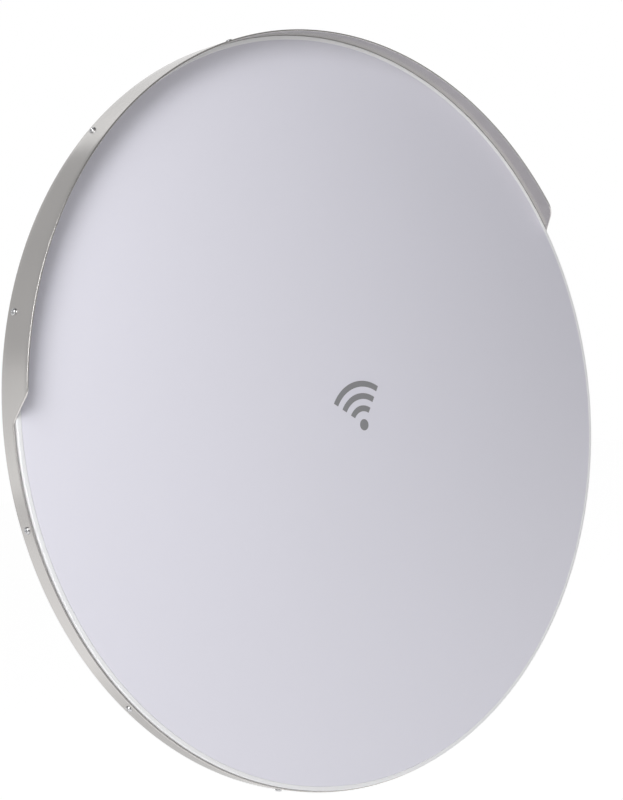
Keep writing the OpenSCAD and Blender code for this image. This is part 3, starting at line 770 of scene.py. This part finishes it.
def make_floor():
    """A pale floor that glows a little, so that it stays white, and glows less in a patch behind the dish."""
    left, right, near, far, height = -5.0, 5.0, -2.4, 8.0, -1.3
    patch_y, patch_r, patch_edge_r, patch_glow, floor_glow = 0.9, 0.5, 1.2, 0.4, 0.82
    corners = [(left, near, height), (right, near, height), (right, far, height), (left, far, height)]
    mesh = bpy.data.meshes.new("floor")
    mesh.from_pydata(corners, [], [(0, 1, 2, 3)])
    floor = bpy.data.objects.new("floor", mesh)
    bpy.context.scene.collection.objects.link(floor)
    f = Finish("floor", (0.6, 0.6, 0.6), 0.9, Emission_Color=(1, 1, 1, 1))
    f.vary_colour(f.noise(2, 2), 0.004)
    away = f.add("ShaderNodeVectorMath", operation="DISTANCE")
    f.link(f.coords, away.inputs[0])
    away.inputs[1].default_value = (0, patch_y, height)
    glow = f.add("ShaderNodeMapRange")
    f.link(away.outputs["Value"], glow.inputs["Value"])
    glow.inputs["From Min"].default_value = patch_r
    glow.inputs["From Max"].default_value = patch_edge_r
    glow.inputs["To Min"].default_value = patch_glow
    glow.inputs["To Max"].default_value = floor_glow
    f.link(glow.outputs[0], f.shader.inputs["Emission Strength"])
    dress(floor, f.material)


def add_light(name, azimuth, elevation, size, power):
    """A soft rectangular light on a sphere round the rim's centre, facing it."""
    data = bpy.data.lights.new(name, "AREA")
    data.shape, data.size, data.size_y = "RECTANGLE", size[0], size[1]
    data.energy = power
    back = direction(azimuth, elevation)
    light = bpy.data.objects.new(name, data)
    light.location = RIM_CENTRE + back * LIGHT_DISTANCE
    light.rotation_mode = "QUATERNION"
    light.rotation_quaternion = (-back).to_track_quat("-Z", "Y")
    light.visible_camera = False
    bpy.context.scene.collection.objects.link(light)


def make_room():
    """A dim room, lit mostly from low down behind the object, and a white backdrop in the picture."""
    world = bpy.data.worlds.new("studio")
    world.use_nodes = True
    tree = world.node_tree

    def add(kind, **inputs):
        node = tree.nodes.new(kind)
        for key, value in inputs.items():
            node.inputs[key.replace("_", " ")].default_value = value
        return node

    split = add("ShaderNodeSeparateXYZ")
    tree.links.new(add("ShaderNodeTexCoord").outputs["Generated"], split.inputs[0])
    rise = add("ShaderNodeMath")
    rise.operation = "ABSOLUTE"
    tree.links.new(split.outputs["Z"], rise.inputs[0])
    glow = add("ShaderNodeMapRange", From_Max=0.6, To_Min=0.34, To_Max=0.14)
    tree.links.new(rise.outputs[0], glow.inputs["Value"])
    behind = add("ShaderNodeMapRange", From_Min=0.0, From_Max=0.6, To_Min=1.0, To_Max=2.6)
    tree.links.new(split.outputs["Y"], behind.inputs["Value"])
    strength = add("ShaderNodeMath")
    strength.operation = "MULTIPLY"
    tree.links.new(glow.outputs[0], strength.inputs[0])
    tree.links.new(behind.outputs[0], strength.inputs[1])
    room = tree.nodes["Background"]
    room.inputs["Color"].default_value = (1, 1, 1, 1)
    tree.links.new(strength.outputs[0], room.inputs["Strength"])
    backdrop = add("ShaderNodeBackground", Color=(1, 1, 1, 1), Strength=1.0)
    mix = add("ShaderNodeMixShader")
    tree.links.new(add("ShaderNodeLightPath").outputs["Is Camera Ray"], mix.inputs[0])
    tree.links.new(room.outputs[0], mix.inputs[1])
    tree.links.new(backdrop.outputs[0], mix.inputs[2])
    tree.links.new(mix.outputs[0], tree.nodes["World Output"].inputs["Surface"])
    bpy.context.scene.world = world


def make_light():
    """A main light high on the left, and weak fills all round."""
    make_room()
    add_light("key", -55, 38, (1.0, 1.4), 28.5)
    add_light("key_soft", -55, 35, (1.5, 2.6), 15)
    add_light("side", -60, 5, (1.1, 1.1), 2.8)
    add_light("low_left", -32, -20, (1.2, 1.2), 1.1)
    add_light("low_right", 30, -20, (1.2, 1.2), 1.2)
    add_light("back_top", -165, 47, (2.2, 1.5), 1.2)
    add_light("behind_high", 150, 50, (1.2, 1.2), 2.6)
    add_light("back_right", 160, 20, (1.5, 1.0), 1.9)
    add_light("back_left", -143, 10, (0.8, 0.9), 0.5)
    bpy.context.scene.view_settings.view_transform = "Standard"


# ---- Scene ----


def main():
    make_camera()
    make_floor()
    make_light()
    finishes = make_finishes()
    dress_frame(finishes)
    dress(build_radome(), finishes["radome_plastic"])
    # The seal's white is partly a painted highlight along the radome's edge.
    dress(build_seal(), finishes["edge_seal"])
    dress(build_band(), finishes["band_metal"])
    dress(build_screws(), finishes["screw_steel"])
    dress(build_reflector(), finishes["dish_metal"])
    for piece in build_mark():
        dress(piece, finishes["print_ink"])


main()
